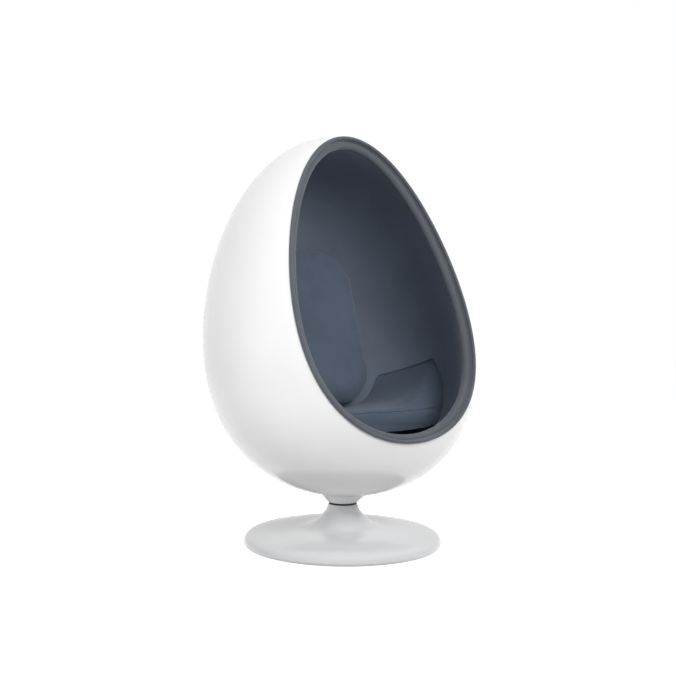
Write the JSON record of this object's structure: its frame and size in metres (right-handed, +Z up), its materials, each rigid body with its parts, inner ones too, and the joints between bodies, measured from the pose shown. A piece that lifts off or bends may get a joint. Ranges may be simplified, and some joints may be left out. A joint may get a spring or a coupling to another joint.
{
  "type": "pod chair",
  "caption": "Egg-shaped shell seat with a padded, cloth-lined inside, a rolled rim, loose seat and back cushions, and a ball-bearing swivel on a round trumpet base.",
  "frame": {"origin": "on the floor under the swivel axis, at the middle of the felt pad's underside", "axes": "+Z up along the swivel axis, the opening faces -Y, +X to the sitter's left"},
  "size_m": [0.8588, 0.8176, 1.2654],
  "materials": {
    "shell_gelcoat": "gloss",
    "base_paint": "gloss",
    "zinc_steel": "satin",
    "ballast_iron": "matte",
    "bearing_steel": "polished",
    "bush_plastic": "matte",
    "dust_rubber": "matte",
    "floor_felt": "matte",
    "plywood": "matte",
    "lining_fabric": "matte",
    "cushion_fabric": "matte",
    "trim_fabric": "satin",
    "foam": "matte"
  },
  "bodies": {
    "base": {"trumpet_base": "base_paint", "floor_pad": "floor_felt", "ballast_plate": "ballast_iron", "base_screws": "zinc_steel", "pedestal_column": "zinc_steel", "column_bolts": "zinc_steel", "lower_bush": "bush_plastic", "upper_bush": "bush_plastic", "bearing_lower_race": "bearing_steel"},
    "bearing_cage": {"bearing_balls": "bearing_steel", "ball_cage": "bush_plastic"},
    "pod": {"bearing_upper_race": "bearing_steel", "swivel_spindle": "zinc_steel", "retaining_washer": "zinc_steel", "retaining_clip": "zinc_steel", "dust_ring": "dust_rubber", "shell_collar": "shell_gelcoat", "egg_shell": "shell_gelcoat", "reinforcing_pad": "plywood", "mounting_washers": "zinc_steel", "mounting_bolts": "zinc_steel", "foam_bowl": "foam", "foam_left": "foam", "foam_right": "foam", "foam_back_left": "foam", "foam_back_right": "foam", "foam_crown": "foam", "lining_cloth": "lining_fabric", "edge_piping": "trim_fabric", "rim_roll_cover": "trim_fabric", "rim_roll_foam": "foam", "seat_cushion_cover": "cushion_fabric", "seat_cushion_foam": "foam"},
    "back_cushion": {"back_cushion_cover": "cushion_fabric", "back_cushion_filling": "foam"}
  },
  "joints": [
    {"name": "swivel", "type": "hinge", "parent": "base", "child": "pod", "pos_m": [0, 0, 0.125], "axis": [0, 0, 1], "continuous": true},
    {"name": "cage_orbit", "type": "hinge", "parent": "base", "child": "bearing_cage", "pos_m": [0, 0, 0.125], "axis": [0, 0, 1], "continuous": true},
    {"name": "back_lift_out", "type": "slide", "parent": "pod", "child": "back_cushion", "axis": [0, -0.9925, 0.1219], "range_m": [0, 0.6]}
  ],
  "couplings": [
    {"joint": "cage_orbit", "follows": "swivel", "ratio": 0.5}
  ]
}
